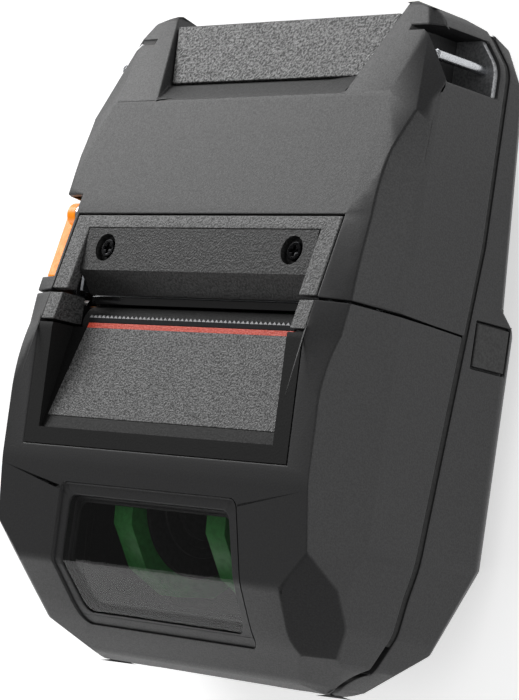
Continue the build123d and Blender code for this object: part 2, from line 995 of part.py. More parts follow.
def bezel_screws():
    screws = []
    for x in (bezel_screw_x, -bezel_screw_x):
        low = -counterbore_depth
        head = Pos(x, 0, low + 0.65) * Cylinder(bezel_screw_head, 1.3)
        shank = Pos(x, 0, low - bezel_screw_length / 2 + 0.3) * Cylinder(bezel_screw_shank, bezel_screw_length)
        slot = Pos(x, 0, low + 1.0) * Box(2.6, 0.6, 1.0)
        cross = Pos(x, 0, low + 1.0) * Box(0.6, 2.6, 1.0)
        screws.append(bar_screw_axis() * (head + shank - slot - cross))
    return Compound(children=screws)


def gear_x(layer):
    """Start and end along X of a gear layer, outside the left side plate."""
    start = -plate_x - plate_thick - 2 * gear_space - layer * (gear_width + gear_space)
    return start - gear_width, start


def polar(centre, teeth_sum, direction):
    distance = gear_module * teeth_sum / 2
    angle = math.radians(direction)
    return centre[0] + distance * math.cos(angle), centre[1] + distance * math.sin(angle)


PLATEN = (platen_y, platen_z)
IDLER = polar(PLATEN, platen_teeth + idler_teeth, idler_direction)
REDUCTION = polar(IDLER, idler_teeth + reduction_small_teeth, reduction_direction)
MOTOR = polar(REDUCTION, reduction_big_teeth + pinion_teeth, motor_direction)


def mesh_phase(phase, teeth, other_teeth, direction):
    """Angle of a tooth of the second gear so that it meshes with the first."""
    pitch = 360 / teeth
    offset = (direction - phase) % pitch
    return direction + 180 + offset * teeth / other_teeth - 180 / other_teeth


def gear_face(teeth, module, phase):
    """Spur gear outline with involute flanks of 20 degrees."""
    pitch_radius = module * teeth / 2
    base = pitch_radius * math.cos(math.radians(20))
    tip = pitch_radius + 0.85 * module
    root = pitch_radius - 1.2 * module
    half_tooth = (math.pi * module / 2 - gear_backlash) / (2 * pitch_radius)
    involute = math.tan(math.radians(20)) - math.radians(20)
    start = max(base, root)
    flank = []
    for i in range(4):
        radius = start + (tip - start) * i / 3
        pressure = math.acos(base / radius)
        flank.append((radius, half_tooth + involute - (math.tan(pressure) - pressure)))
    if root < base:
        flank.insert(0, (root, flank[0][1] * 0.9))
    points = []
    for tooth in range(teeth):
        middle = math.radians(phase + 360 * tooth / teeth)
        rising = [(radius, middle - angle) for radius, angle in flank]
        falling = [(radius, middle + angle) for radius, angle in reversed(flank)]
        points += [(r * math.cos(a), r * math.sin(a)) for r, a in rising + falling]
    return make_face(Polyline(*points, close=True))


def gear(teeth, phase, centre, x):
    """Gear that turns about X."""
    blank = extrude(Plane.YZ * gear_face(teeth, gear_module, phase), x[1] - x[0])
    return Pos(x[0], centre[0], centre[1]) * blank


platen_phase = idler_direction
idler_phase = mesh_phase(platen_phase, platen_teeth, idler_teeth, idler_direction)
reduction_phase = mesh_phase(idler_phase, idler_teeth, reduction_small_teeth, reduction_direction)
pinion_phase = mesh_phase(reduction_phase, reduction_big_teeth, pinion_teeth, motor_direction)


def platen_shaft():
    return rod(shaft_radius, (gear_x(0)[0] - 0.5, shaft_right), *PLATEN)


def platen_roller():
    sleeve = rod(platen_radius, (-platen_half, platen_half), *PLATEN)
    return sleeve - rod(shaft_radius, (-platen_half, platen_half), *PLATEN)


def platen_gear():
    x = gear_x(0)
    return gear(platen_teeth, platen_phase, PLATEN, x) - rod(shaft_radius, x, *PLATEN)


def idler_gear():
    x = gear_x(0)
    return gear(idler_teeth, idler_phase, IDLER, x) - rod(post_radius + bush_gap, x, *IDLER)


def reduction_gear():
    near = gear_x(0)
    wide = gear_x(1)
    small = gear(reduction_small_teeth, reduction_phase, REDUCTION, (wide[1] - fit_gap, near[1]))
    big = gear(reduction_big_teeth, reduction_phase, REDUCTION, wide)
    return small + big - rod(post_radius + bush_gap, (wide[0], near[1]), *REDUCTION)


def motor_pinion():
    wide = gear_x(1)
    shaft = rod(motor_shaft_radius, (wide[0], -plate_x + 6), *MOTOR)
    return gear(pinion_teeth, pinion_phase, MOTOR, wide) + shaft


def gear_posts():
    start = -plate_x - plate_thick
    short = rod(post_radius, (gear_x(0)[0], start), *IDLER)
    long = rod(post_radius, (gear_x(1)[0], start), *REDUCTION)
    return Compound(children=[short, long])


def motor():
    body = rod(motor_radius, (-plate_x, -plate_x + motor_length), *MOTOR)
    return body - rod(motor_shaft_radius + bush_gap, (-plate_x, -plate_x + 6.5), *MOTOR)


def platen_bearings():
    bush = rod(bush_radius, (bush_inner_x, bush_outer_x), *PLATEN)
    return both(bush - rod(shaft_radius + bush_gap, (bush_inner_x, bush_outer_x), *PLATEN))


def chassis():
    outer = plate_x + plate_thick
    base = between((-outer, outer), (chassis_low_y, chassis_top_y), (base_z, base_z + plate_thick))
    sides = both(between((plate_x, outer), (chassis_low_y, side_plate_top_y), (base_z, plate_front_z)))
    tab = between((-outer, -plate_x), (idler_tab_y, chassis_low_y), (base_z, idler_tab_z))
    cross_z = (plate_front_z - cross_thick, plate_front_z)
    cross = between((-plate_x, plate_x), (cross_low_y, cross_top_y), cross_z)
    web_x = (-plate_x + motor_length + 3, plate_x)
    web = between(web_x, (web_y, web_y + plate_thick), (base_z, plate_front_z - 1))
    frame = base + sides + tab + cross + web
    frame -= rod(release_radius + fit_gap, (-far, far), release_y, release_z)
    frame -= rod(head_pivot_radius + bush_gap, (-far, far), head_pivot_y(), head_pivot_z)
    frame -= rod(motor_shaft_radius + clear_gap, (-outer, -plate_x), *MOTOR)
    for x in (bezel_screw_x, -bezel_screw_x):
        frame -= bar_screw_axis() * Pos(x, 0, -4) * Cylinder(bezel_screw_shank, 14)
    return frame - rod(shaft_radius + 2, (-outer, -plate_x), *PLATEN)


def head_pivot_y():
    return platen_y + platen_radius + head_gap + head_thick + sink_height / 2


def print_head():
    low = platen_y + platen_radius + head_gap
    return between((-head_half, head_half), (low, low + head_thick), (head_back_z, head_front_z))


def head_sink():
    low = platen_y + platen_radius + head_gap + head_thick
    sink = between((-head_half, head_half), (low, low + sink_height), (sink_back_z, sink_front_z))
    for i in range(6):
        z = sink_back_z + 3.5 + 2 * i
        sink -= between((-head_half, head_half), (low + 2.5, far), (z, z + 0.8))
    pivot = rod(head_pivot_radius, (-plate_x - plate_thick, plate_x + plate_thick), head_pivot_y(), head_pivot_z)
    return sink + pivot


def head_springs():
    low = platen_y + platen_radius + head_gap + head_thick + sink_height + 0.8
    length = web_y - low
    springs = []
    for x in head_spring_xs:
        coil = Cylinder(head_spring_radius, length) - Cylinder(head_spring_radius - 0.7, length)
        springs.append(Pos(x, low + length / 2, head_spring_z) * Rot(90, 0, 0) * coil)
    return Compound(children=springs)


def lever_x():
    outer = -half_width - lever_proud
    return outer, outer + lever_thick


def release_lever():
    x = lever_x()
    plate = side_slab(
        [
            (lever_low_y, lever_front_low_z),
            (lever_low_y + lever_back_shift, lever_back_z),
            (lever_top_y, lever_back_z),
            (lever_top_y, lever_front_top_z),
        ]
    )
    plate = plate & between(x, (0, far), (0, far))
    plate = fillet(plate.edges().filter_by(Axis.X), lever_round)
    hub = rod(release_radius + 1.0, (x[1], -catch_inner_x - catch_thick - fit_gap), release_y, release_z)
    return plate + hub - rod(release_radius, (x[1] - 0.5, 0), release_y, release_z)


def release_shaft():
    shaft = rod(release_radius, (lever_x()[1] - 0.5, catch_inner_x + catch_thick), release_y, release_z)
    arm = side_slab(
        [
            (release_y, release_z + 3),
            (catch_tip_y, catch_tip_z + 2),
            (catch_tip_y, catch_tip_z - 2),
            (release_y, release_z - 3),
        ]
    )
    arm = arm & between((catch_inner_x, catch_inner_x + catch_thick), (0, far), (0, far))
    arm += rod(3.0, (catch_inner_x, catch_inner_x + catch_thick), release_y, release_z)
    return shaft + both(arm)


def lever_spring():
    x = (-plate_x + 0.5, -plate_x + 8)
    return rod(release_radius + 0.9, x, release_y, release_z) - rod(release_radius + 0.3, x, release_y, release_z)


def ramp_z(y):
    """Height of the ramp's face."""
    low = front_z(ramp_low_y) - ramp_low_sink
    return low - (y - ramp_low_y) * ramp_slope


def outlet_under_z(y):
    """Height of the outlet frame's underside, which clears the roll."""
    share = min(max((outlet_thick_y - y) / (outlet_thick_y - outlet_thin_y), 0), 1)
    return outlet_floor_z + share * (outlet_thin_z - outlet_floor_z)


def outlet_frame():
    under = side_slab(
        [
            (outlet_low_y, outlet_thin_z),
            (outlet_thin_y, outlet_thin_z),
            (outlet_thick_y, outlet_floor_z),
            (outlet_top_y, outlet_floor_z),
            (outlet_top_y, far),
            (outlet_low_y, far),
        ],
        outlet_half,
    )
    block = under & OUTER
    reach = outlet_half + flange_reach
    slab = between((-reach, reach), (outlet_low_y - flange_reach, outlet_top_y - 2), (outlet_floor_z, far))
    flange = slab & (body_form(wall) - body_form(wall + flange_thick))
    ears = both(
        between(
            (bush_inner_x, bush_outer_x),
            (platen_y - bush_radius - 2.0, platen_y + bush_radius + 0.8),
            (platen_z - bush_radius - ear_wall, block_low_z()),
        )
    )
    frame = block + flange
    well = side_slab(
        [
            (outlet_ledge_y, ramp_z(outlet_ledge_y)),
            (seam_y, ramp_z(seam_y)),
            (seam_y, far),
            (outlet_ledge_y, far),
        ],
        outlet_inner_half,
    )
    seat = ramp_slab(0.0) & between((-far, far), (outlet_ledge_y, seam_y), (0, far))
    frame -= well + seat
    room = platen_radius + 0.8
    frame -= rod(room, (-bush_inner_x, bush_inner_x), *PLATEN)
    frame += ears
    frame -= rod(shaft_radius + clear_gap, (-far, shaft_right + clear_gap), *PLATEN)
    return frame - rod(bush_radius, (-bush_outer_x, bush_outer_x), *PLATEN)


def ramp_slab(gap):
    """The tapered ramp plate, drawn in by a gap."""
    low = ramp_low_half - gap
    high = ramp_top_half - gap
    plan = make_face(
        Polyline(
            (low, ramp_low_y + gap), (high, ramp_top_y - gap), (-high, ramp_top_y - gap), (-low, ramp_low_y + gap), close=True
        )
    )
    side = side_slab(
        [
            (ramp_low_y - 5, ramp_z(ramp_low_y - 5)),
            (ramp_top_y + 5, ramp_z(ramp_top_y + 5)),
            (ramp_top_y + 5, ramp_z(ramp_top_y + 5) - ramp_thick),
            (ramp_low_y - 5, ramp_z(ramp_low_y - 5) - ramp_thick),
        ]
    )
    return side & extrude(plan, far)


def exit_ramp():
    return ramp_slab(fit_gap) - rod(platen_radius + 0.8, (-far, far), *PLATEN)


def block_low_z():
    return platen_z + bush_radius + ear_wall


def corner_blocks():
    x = (outlet_inner_half + clear_gap, outlet_half + fit_gap)
    block = between(x, (block_low_y, seam_y - part_gap), (block_low_z(), far))
    return both(block & OUTER & cover_region())


def tear_bar():
    low_y = ramp_top_y
    step = 2 * tear_half / tear_teeth
    points = [(-tear_half, low_y)]
    for i in range(tear_teeth):
        x = -tear_half + i * step
        points.append((x, low_y + tear_depth - tear_tooth))
        points.append((x + step / 2, low_y + tear_depth))
    points.append((tear_half, low_y + tear_depth - tear_tooth))
    points.append((tear_half, low_y))
    strip = extrude(make_face(Polyline(*points, close=True)), tear_thick)
    return Pos(0, 0, ramp_z(low_y) - tear_thick) * strip


def cover_screws():
    screws = []
    for x in (outlet_half - 3, -outlet_half + 3):
        for y in (outlet_thin_y - 2, outlet_thick_y + 7):
            screws.append(Pos(x, y, outlet_under_z(y) - 0.5) * Cylinder(1.9, 1.0))
    return Compound(children=screws)


def media_sensor():
    return between((-5, 5), (outlet_thick_y + 1, outlet_thick_y + 8), (outlet_floor_z - 2.5, outlet_floor_z))


def window_plan(gap):
    """Plan outline of the window, widened by a gap."""
    points = [
        (window_low_half + gap, window_low_y - gap),
        (window_bend_half + gap, window_bend_y),
        (window_top_half + gap, window_top_y + gap),
        (-window_top_half - gap, window_top_y + gap),
        (-window_bend_half - gap, window_bend_y),
        (-window_low_half - gap, window_low_y - gap),
    ]
    rounds = [3.0, 2.0, 2.5, 2.5, 2.0, 3.0]
    return make_face(FilletPolyline(*points, radius=rounds, close=True))


def cover_window():
    pane = envelope(window_sink) - envelope(window_sink + window_thick)
    return pane & extrude(window_plan(0), far) & cover_region()


def roll_cover():
    cover = SHELL & cover_region()
    outlet_room = between(
        (-outlet_half - fit_gap, outlet_half + fit_gap), (outlet_low_y - fit_gap, far), (outlet_floor_z, far)
    )
    cover -= outlet_room
    cover -= extrude(window_plan(window_border), far) - envelope(window_border_sink)
    cover -= extrude(window_plan(window_gap), far)
    seat = window_sink + window_thick
    ledge = extrude(window_plan(2 * window_rebate), far) - extrude(window_plan(-window_rebate), far)
    pane_room = extrude(window_plan(window_gap), far) - envelope(seat)
    cover += ((ledge & (envelope(wall) - envelope(seat + window_rebate))) - pane_room) & cover_region()
    cover -= hinge_room(0, far)
    cover += knuckles(knuckle_inner_x, knuckle_mid_x - clear_gap, True)
    return cover - cover_keepers() - hinge_bore()


def cover_keepers():
    """Pins pressed into the cover's flanks, which the catches of the lever shaft hold."""
    return both(rod(keeper_radius, (catch_inner_x, half_width - keeper_root), keeper_y, keeper_z))


def roll_bucket():
    outer = bucket_radius + bucket_wall
    tube = rod(outer, (-bucket_half, bucket_half), roll_y, roll_z)
    inside = rod(bucket_radius, (-bucket_half + bucket_wall, bucket_half - bucket_wall), roll_y, roll_z)
    drop = outer * math.sin(math.radians(bucket_lip_angle))
    lip_y = roll_y + outer * math.cos(math.radians(bucket_lip_angle))
    keep = side_slab(
        [
            (roll_y - outer - 1, -1),
            (lip_y, -1),
            (lip_y, roll_z - drop),
            (roll_y, roll_z - 2),
            (roll_y - outer - 1, roll_z - 2),
        ]
    )
    return (tube - inside) & keep


def regular(radius, sides, turn):
    points = []
    for i in range(sides):
        angle = math.radians(turn + 360 * i / sides)
        points.append((roll_y + radius * math.cos(angle), roll_z + radius * math.sin(angle)))
    return points


def media_guide():
    """Left media guide: flange, arm and the axle of its hub, without the rack."""
    flange = side_slab(regular(guide_radius, guide_sides, 20.0))
    knee_y = arm_low_y + arm_width
    arm = side_slab(
        [
            (arm_low_y, rack_z + rack_thick),
            (knee_y, rack_z + rack_thick),
            (knee_y, arm_knee_z - 8),
            (roll_y + 12, roll_z + 16),
            (roll_y + 12, roll_z - 4),
            (arm_low_y, arm_knee_z - 14),
        ]
    )
    body = (flange + arm) & between((-guide_outer, -guide_inner), (-far, far), (0, far))
    seat = rod(hub_radius + clear_gap, (-guide_inner - hub_sink - clear_gap, -guide_inner + 1), roll_y, roll_z)
    axle = rod(hub_axle_radius, (-guide_outer, -guide_inner), roll_y, roll_z)
    return body - seat + axle


def rack(side):
    """Toothed rack; side -1 lies on the hinge side of the pinion and +1 on the strap side."""
    pitch = math.pi * rack_module
    radius = rack_module * rack_teeth_pinion / 2
    half_tip = pitch / 4 - gear_backlash / 2 - 0.85 * rack_module * math.tan(math.radians(20))
    half_root = pitch / 4 - gear_backlash / 2 + 1.1 * rack_module * math.tan(math.radians(20))
    tip = rack_y + side * (radius - 0.85 * rack_module)
    root = rack_y + side * (radius + 1.1 * rack_module)
    back = root + side * rack_depth
    strip = between((side * guide_outer, -side * rack_reach), (root, back), (rack_z, rack_z + rack_thick))
    count = int((rack_reach - 2) / pitch)
    reach = int((guide_outer - 2) / pitch)
    teeth = []
    for i in range(-count, reach):
        x = side * (i + 0.5) * pitch
        points = [(x - half_root, root), (x - half_tip, tip), (x + half_tip, tip), (x + half_root, root)]
        teeth.append(Pos(0, 0, rack_z) * extrude(make_face(Polyline(*points, close=True)), rack_thick))
    for tooth in teeth:
        strip += tooth
    return strip


def guide_foot(side):
    """Web that joins a guide's arm to its rack, above the other rack."""
    back = rack_y + side * (rack_module * rack_teeth_pinion / 2 + 1.1 * rack_module + rack_depth)
    x = (-guide_outer, -guide_inner)
    y = (min(arm_low_y, back), max(arm_low_y + arm_width, back))
    low = rack_z + rack_thick
    bridge = between(x, y, (low + clear_gap, low + clear_gap + 3))
    leg = between(x, (back - side * rack_depth, back), (low, low + 1))
    return bridge + leg


def guide_left():
    trench = between(
        (-far, far), (rack_y - 6.9, rack_y + 6.9), (rack_z - 1, rack_z + rack_thick + clear_gap)
    )
    return media_guide() + guide_foot(-1) - trench


def guide_right():
    shape = media_guide() - between((-far, far), (-far, far), (0, rack_z + rack_thick + clear_gap))
    return mirror(shape + guide_foot(1), about=Plane.YZ)


def hub():
    """Left roll hub: a disc with a raised ring and a nose that enters the core."""
    disc = rod(hub_radius, (-guide_inner - hub_sink, -guide_inner + 0.6), roll_y, roll_z)
    nose = rod(hub_nose_radius, (-guide_inner, -guide_inner + hub_nose), roll_y, roll_z)
    ring = rod(hub_radius - 5, (-guide_inner, -guide_inner + 1.2), roll_y, roll_z)
    ring -= rod(hub_radius - 7.5, (-guide_inner, -guide_inner + 1.2), roll_y, roll_z)
    bore = rod(hub_axle_radius + bush_gap, (-guide_outer, 0), roll_y, roll_z)
    return disc + nose + ring - bore


def guide_pinion():
    blank = extrude(gear_face(rack_teeth_pinion, rack_module, 90.0), rack_thick)
    wheel = Pos(0, rack_y, rack_z) * blank
    return wheel - Pos(0, rack_y, rack_z + rack_thick / 2) * Cylinder(post_radius + bush_gap, rack_thick)


def guide_track():
    radius = rack_module * rack_teeth_pinion / 2 + 1.1 * rack_module + rack_depth
    top = rack_z - clear_gap
    y = (rack_y - radius - clear_gap - track_edge, rack_y + radius + clear_gap + track_edge)
    plate = between((-track_half, track_half), y, (top - track_thick, top))
    for side in (-1, 1):
        inner = rack_y + side * (radius + clear_gap)
        edge = (inner, inner + side * track_edge)
        plate += between((-track_half, track_half), edge, (top - track_thick, rack_z + rack_thick / 2))
    post = Pos(0, rack_y, top + rack_thick / 2) * Cylinder(post_radius, rack_thick)
    return plate + post


def port_cover():
    outer = half_width - flap_sink
    inner = outer - flap_thick
    axis_z = flap_front_z - flap_thick / 2
    flap = between((inner, outer), (flap_low_y, flap_top_y), (flap_back_z, axis_z))
    barrel = Pos((inner + outer) / 2, (flap_low_y + flap_top_y) / 2, axis_z) * Rot(90, 0, 0)
    flap += barrel * Cylinder(flap_thick / 2, flap_top_y - flap_low_y)
    plug = between(
        (inner - flap_plug_depth, inner),
        (flap_low_y + flap_margin + 0.5, flap_top_y - flap_margin - 0.5),
        (flap_back_z + flap_margin + 0.5, flap_front_z - 2 * flap_margin - 2.5),
    )
    return flap + plug


def usb_port():
    middle = (flap_low_y + flap_top_y) / 2
    outer = half_width - flap_sink - flap_thick - flap_plug_depth - 0.5
    shell = between(
        (outer - port_depth, outer),
        (middle - usb_length / 2, middle + usb_length / 2),
        (usb_z - usb_height / 2, usb_z + usb_height / 2),
    )
    hole = between(
        (outer - port_depth + 1, outer),
        (middle - usb_length / 2 + 0.5, middle + usb_length / 2 - 0.5),
        (usb_z - usb_height / 2 + 0.5, usb_z + usb_height / 2 - 0.5),
    )
    tongue = between((outer - port_depth, outer - 1), (middle - 3, middle + 3), (usb_z - 0.3, usb_z + 0.3))
    return shell - hole + tongue


def write(name, shape):
    export_step(shape, os.path.join("parts", name + ".step"))


def main():
    os.makedirs("parts", exist_ok=True)
    nodes = {
        "front_casing": front_casing(),
        "rear_casing": rear_casing(),
        "casing_gasket": casing_gasket(),
        "battery_tray": battery_tray(),
        "top_panel": top_panel(),
        "display_window": display_window(),
        "display_module": display_module(),
        "control_board": control_board(),
        "power_button": button(button_xs[0]),
        "feed_button": button(button_xs[1]),
        "menu_button": button(button_xs[2]),
        "head_bezel": head_bezel(),
        "head_cover": head_cover(),
        "bezel_screws": bezel_screws(),
        "chassis": chassis(),
        "main_board": main_board(),
        "motor": motor(),
        "motor_pinion": motor_pinion(),
        "reduction_gear": reduction_gear(),
        "idler_gear": idler_gear(),
        "gear_posts": gear_posts(),
        "print_head": print_head(),
        "head_sink": head_sink(),
        "head_springs": head_springs(),
        "release_lever": release_lever(),
        "release_shaft": release_shaft(),
        "lever_spring": lever_spring(),
        "roll_cover": roll_cover(),
        "cover_window": cover_window(),
        "cover_keepers": cover_keepers(),
        "outlet_frame": outlet_frame(),
        "exit_ramp": exit_ramp(),
        "corner_blocks": corner_blocks(),
        "tear_bar": tear_bar(),
        "cover_screws": cover_screws(),
        "media_sensor": media_sensor(),
        "platen_roller": platen_roller(),
        "platen_shaft": platen_shaft(),
        "platen_gear": platen_gear(),
        "platen_bearings": platen_bearings(),
        "roll_bucket": roll_bucket(),
        "guide_track": guide_track(),
        "guide_left": guide_left(),
        "guide_right": guide_right(),
        "rack_left": rack(-1),
        "rack_right": rack(1),
        "guide_pinion": guide_pinion(),
        "hub_left": hub(),
        "hub_right": mirror(hub(), about=Plane.YZ),
        "hinge_pin": hinge_pin(),
        "battery_pack": battery_pack(),
        "battery_latch": battery_latch(),
        "battery_contacts": battery_contacts(),
        "belt_clip_inserts": belt_clip_inserts(),
        "casing_screws": casing_screws(),
        "strap_bars": strap_bars(),
        "strap_plates": strap_plates(),
        "port_cover": port_cover(),
        "usb_port": usb_port(),
    }
    for name, shape in nodes.items():
        write(name, shape)


main()
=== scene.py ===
import json
import math

import bmesh
import bpy
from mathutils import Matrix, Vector

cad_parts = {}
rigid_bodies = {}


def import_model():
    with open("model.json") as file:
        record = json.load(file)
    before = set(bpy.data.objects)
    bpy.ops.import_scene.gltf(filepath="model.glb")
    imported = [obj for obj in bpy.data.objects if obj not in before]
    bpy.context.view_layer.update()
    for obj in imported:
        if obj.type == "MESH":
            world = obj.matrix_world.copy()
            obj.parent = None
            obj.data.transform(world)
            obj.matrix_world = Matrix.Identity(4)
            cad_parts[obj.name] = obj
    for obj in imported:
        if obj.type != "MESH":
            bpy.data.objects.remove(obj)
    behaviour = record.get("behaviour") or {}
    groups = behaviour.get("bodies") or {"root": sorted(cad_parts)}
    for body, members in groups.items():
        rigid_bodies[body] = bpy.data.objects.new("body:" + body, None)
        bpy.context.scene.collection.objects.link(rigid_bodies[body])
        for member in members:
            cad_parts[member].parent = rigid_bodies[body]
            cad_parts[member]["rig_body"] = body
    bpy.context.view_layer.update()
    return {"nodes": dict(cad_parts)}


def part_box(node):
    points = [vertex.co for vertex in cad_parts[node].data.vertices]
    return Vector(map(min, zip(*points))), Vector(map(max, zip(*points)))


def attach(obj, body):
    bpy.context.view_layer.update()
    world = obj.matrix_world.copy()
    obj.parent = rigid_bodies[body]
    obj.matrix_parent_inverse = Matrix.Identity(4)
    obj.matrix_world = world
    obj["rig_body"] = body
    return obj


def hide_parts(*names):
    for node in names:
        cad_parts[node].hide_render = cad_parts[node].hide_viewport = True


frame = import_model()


# Studio: a glowing light table of opal acrylic, a broad soft light at the strap end of the left
# side, a tall white card at the hinge end and two weak fills, as for a catalogue picture.
# The camera stands where the photograph's did, well off to the right of the printer's front.
def linear(hex_colour):
    parts = [int(hex_colour[i:i + 2], 16) / 255 for i in (1, 3, 5)]
    return [(p / 12.92 if p <= 0.04045 else ((p + 0.055) / 1.055) ** 2.4) for p in parts] + [1.0]


def add(tree, kind, inputs=None, links=None, **settings):
    node = tree.nodes.new("ShaderNode" + kind)
    for key, value in settings.items():
        setattr(node, key, value)
    for key, value in (inputs or {}).items():
        node.inputs[key].default_value = value
    for key, source in (links or {}).items():
        tree.links.new(source, node.inputs[key])
    return node


def new_material(name):
    material = bpy.data.materials.new(name)
    material.use_nodes = True
    material.node_tree.nodes.clear()
    return material, material.node_tree


def ramp(tree, source, span, low_hex, high_hex):
    """A colour that turns from the low one to the high one over a span of the source's values."""
    tone = add(tree, "ValToRGB", links={"Fac": source})
    for element, position, colour in zip(tone.color_ramp.elements, span, (low_hex, high_hex)):
        element.position = position
        element.color = linear(colour)
    return tone.outputs["Color"]


even_span = (0.3, 0.7)
cloud_width = 1 / 3
table_glow = 0.6
opal_acrylic, tree = new_material("opal_acrylic")
spot = add(tree, "TexCoord")
clouds = add(tree, "TexNoise", {"Scale": 1 / cloud_width, "Detail": 2.0}, {"Vector": spot.outputs["Object"]})
milk = ramp(tree, clouds.outputs["Fac"], even_span, "#F4F4F4", "#F8F8F8")
sheet = add(tree, "BsdfPrincipled", {"Roughness": 0.8, "Emission Strength": table_glow}, {"Base Color": milk})
tree.links.new(milk, sheet.inputs["Emission Color"])
add(tree, "OutputMaterial", links={"Surface": sheet.outputs["BSDF"]})
table_side = 8
bpy.ops.mesh.primitive_plane_add(size=table_side, location=(0, 0, 0))
light_table = bpy.context.object
light_table.name = "light_table"
light_table.data.materials.append(opal_acrylic)


def soft_light(name, direction, distance, size, power):
    """A rectangular light in watts, at a distance in metres, that faces the printer."""
    place = Vector(direction).normalized() * distance
    data = bpy.data.lights.new(name, "AREA")
    data.shape = "RECTANGLE"
    data.size, data.size_y = size
    data.energy = power
    light = bpy.data.objects.new(name, data)
    light.location = place
    light.rotation_euler = (-place).to_track_quat("-Z", "Y").to_euler()
    bpy.context.scene.collection.objects.link(light)


soft_light("strap_end_softbox", direction=(-0.74, 0.56, 0.42), distance=1.9, size=(1.1, 0.8), power=23)
soft_light("hinge_end_card", direction=(-0.75, -0.60, 0.24), distance=1.2, size=(0.5, 0.5), power=1.8)
soft_light("overhead_fill", direction=(0.25, -0.1, 1.0), distance=1.6, size=(1.4, 1.4), power=4)
soft_light("side_fill", direction=(1.0, 0.25, 0.22), distance=1.6, size=(1.2, 0.6), power=6)

room_glow = 0.2
world = bpy.data.worlds.new("white_studio")
world.use_nodes = True
world.node_tree.nodes["Background"].inputs["Color"].default_value = (1, 1, 1, 1)
world.node_tree.nodes["Background"].inputs["Strength"].default_value = room_glow
bpy.context.scene.world = world
bpy.context.scene.view_settings.view_transform = "Standard"

focal_length_mm = 154.29
sensor_width_mm = 36
camera_place = (0.52483, -0.07174, 0.53614)
camera_turn = (14.0139, 44.7307, 11.9764)
camera_data = bpy.data.cameras.new("camera")
camera_data.lens = focal_length_mm
camera_data.sensor_width = sensor_width_mm
camera = bpy.data.objects.new("camera", camera_data)
camera.location = camera_place
camera.rotation_euler = [math.radians(a) for a in camera_turn]
bpy.context.scene.collection.objects.link(camera)
bpy.context.scene.camera = camera


# Rear casing: the deep tray of charcoal ABS that everything is screwed into. It is injection moulded
# in a spark-eroded tool, whose pits give the skin its fine matt grain, and its edges are broken.
# The tray that the battery slides into is a piece of the same plastic.
def finish_material(tree, colour, skin, rough, relief, **sockets):
    """The shader of a material whose skin stands up by relief, in metres, and shines more where it is high."""
    sheen = add(tree, "MapRange", {"To Min": rough[1], "To Max": rough[0]}, {"Value": skin})
    sheen.inputs["From Min"].default_value, sheen.inputs["From Max"].default_value = even_span
    pits = add(tree, "Bump", {"Distance": relief}, {"Height": skin})
    links = {"Base Color": colour, "Roughness": sheen.outputs["Result"], "Normal": pits.outputs["Normal"]}
    shader = add(tree, "BsdfPrincipled", {k.replace("_", " "): v for k, v in sockets.items()}, links)
    add(tree, "OutputMaterial", links={"Surface": shader.outputs["BSDF"]})


grain_span = (0.36, 0.64)


def moulded(name, dark, light, grain, relief, rough, **sockets):
    """Moulded plastic or rubber: the grain is the width in metres of a pit that its tool left."""
    material, tree = new_material(name)
    spot = add(tree, "TexCoord")
    skin = add(tree, "TexNoise", {"Scale": 1 / grain, "Detail": 2.0}, {"Vector": spot.outputs["Object"]})
    colour = ramp(tree, skin.outputs["Fac"], grain_span, dark, light)
    finish_material(tree, colour, skin.outputs["Fac"], rough, relief, **sockets)
    return material


weld_gap = 0.000002
flat_angle = math.radians(1)
blunt_length = 0.012
blunt_angle, steep_angle = math.radians(24), math.radians(62)
sharp_angle = math.radians(30)


def dressed(node, material, edge=0.0, smooth=32.0, soft=0.0, join=True):
    """A copy of a CAD node with its triangles joined to faces and its edges rounded, in metres.
    Soft is the radius of its blunt outer corners and edge that of all its sharp ones.
    Join is off for a shell with openings, where joined faces would stretch a sheet across one."""
    source = frame["nodes"][node]
    piece = bpy.data.objects.new(node + "_finished", source.data.copy())
    bpy.context.scene.collection.objects.link(piece)
    bpy.ops.object.select_all(action="DESELECT")
    piece.select_set(True)
    bpy.context.view_layer.objects.active = piece
    bpy.ops.mesh.customdata_custom_splitnormals_clear()
    bpy.ops.object.mode_set(mode="EDIT")
    bpy.ops.mesh.select_all(action="SELECT")
    bpy.ops.mesh.remove_doubles(threshold=weld_gap)
    if join:
        bpy.ops.mesh.dissolve_limited(angle_limit=flat_angle)
    if soft:
        bpy.ops.mesh.select_all(action="DESELECT")
        bpy.ops.mesh.select_mode(type="EDGE")
        skin = bmesh.from_edit_mesh(piece.data)
        for seam in skin.edges:
            if len(seam.link_faces) == 2 and seam.is_convex and seam.calc_length() > blunt_length:
                seam.select = blunt_angle < seam.calc_face_angle() < steep_angle
        bmesh.update_edit_mesh(piece.data)
        bpy.ops.mesh.bevel(offset=soft, segments=4)
    bpy.ops.object.mode_set(mode="OBJECT")
    if edge:
        rounding = piece.modifiers.new("broken_edge", "BEVEL")
        rounding.width = edge
        rounding.segments = 2
        rounding.angle_limit = sharp_angle
        rounding.use_clamp_overlap = False
        bpy.ops.object.modifier_apply(modifier="broken_edge")
    bpy.ops.object.shade_smooth_by_angle(angle=math.radians(smooth))
    flats = piece.modifiers.new("flat_faces", "WEIGHTED_NORMAL")
    flats.keep_sharp = True
    bpy.ops.object.modifier_apply(modifier="flat_faces")
    piece.data.materials.clear()
    piece.data.materials.append(material)
    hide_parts(node)
    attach(piece, source["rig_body"])


abs_charcoal = moulded(
    "moulded_abs_charcoal", "#1B1B1C", "#262627", grain=0.0004, relief=0.00003, rough=(0.46, 0.56)
)
dressed("rear_casing", abs_charcoal, edge=0.0005)
dressed("battery_tray", abs_charcoal)

